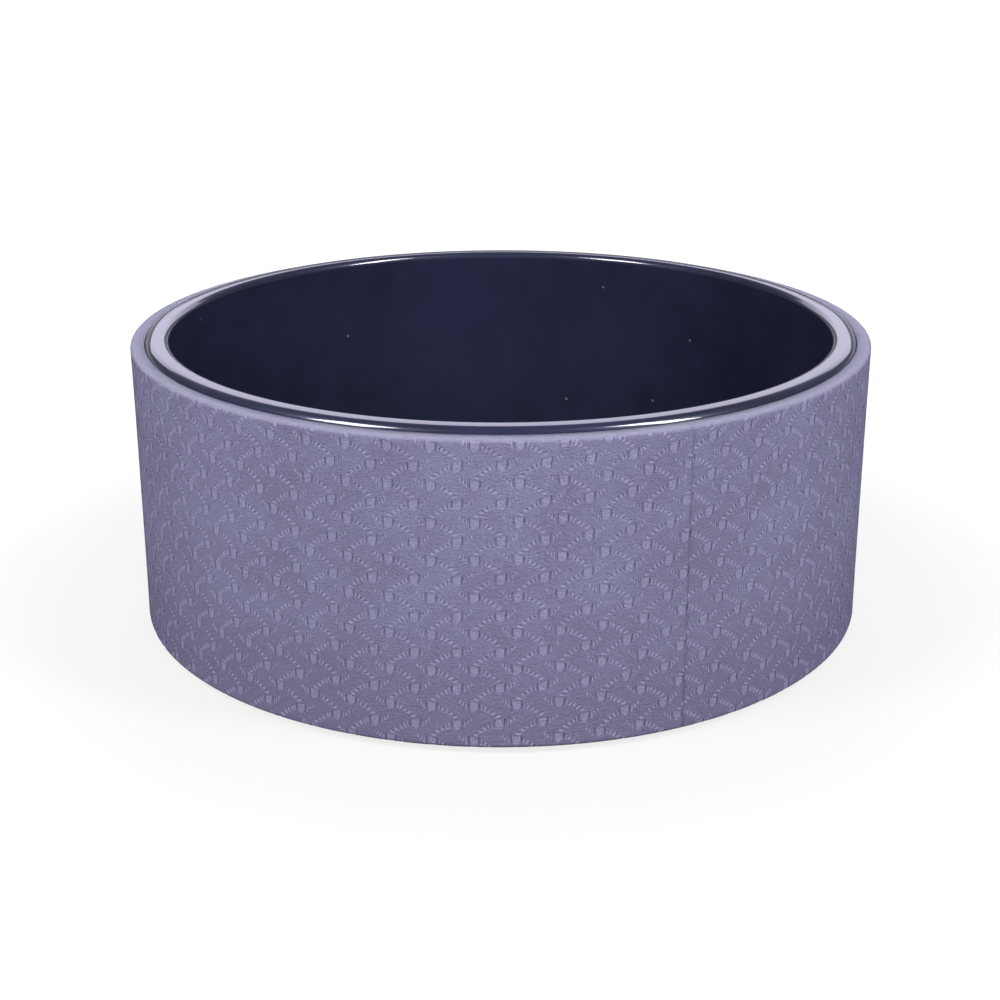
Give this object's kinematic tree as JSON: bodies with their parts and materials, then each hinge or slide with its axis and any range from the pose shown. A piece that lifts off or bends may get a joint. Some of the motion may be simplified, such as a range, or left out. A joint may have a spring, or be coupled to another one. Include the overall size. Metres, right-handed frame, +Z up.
{
  "type": "yoga wheel",
  "caption": "Wide rigid plastic hoop with rounded rims and an embossed foam tread bonded round its outside, for back stretches and balance work.",
  "frame": {"origin": "centre of the rim that the wheel lies on, in that rim's plane", "axes": "+Z up along the wheel's axis, from the rim that it lies on to the other rim; -Y to the front of the picture's view and +X to its right"},
  "size_m": [0.33, 0.33, 0.13],
  "materials": {
    "hoop_plastic": "moulded, glossy, dark navy",
    "tread_foam": "closed-cell elastomer foam, matt, embossed, lavender grey",
    "adhesive": "clear contact adhesive film",
    "seam_glue": "dark glue line"
  },
  "bodies": {
    "root": {"hoop": "hoop_plastic", "adhesive_film": "adhesive", "foam_tread": "tread_foam", "seam_glue": "seam_glue"}
  },
  "joints": []
}
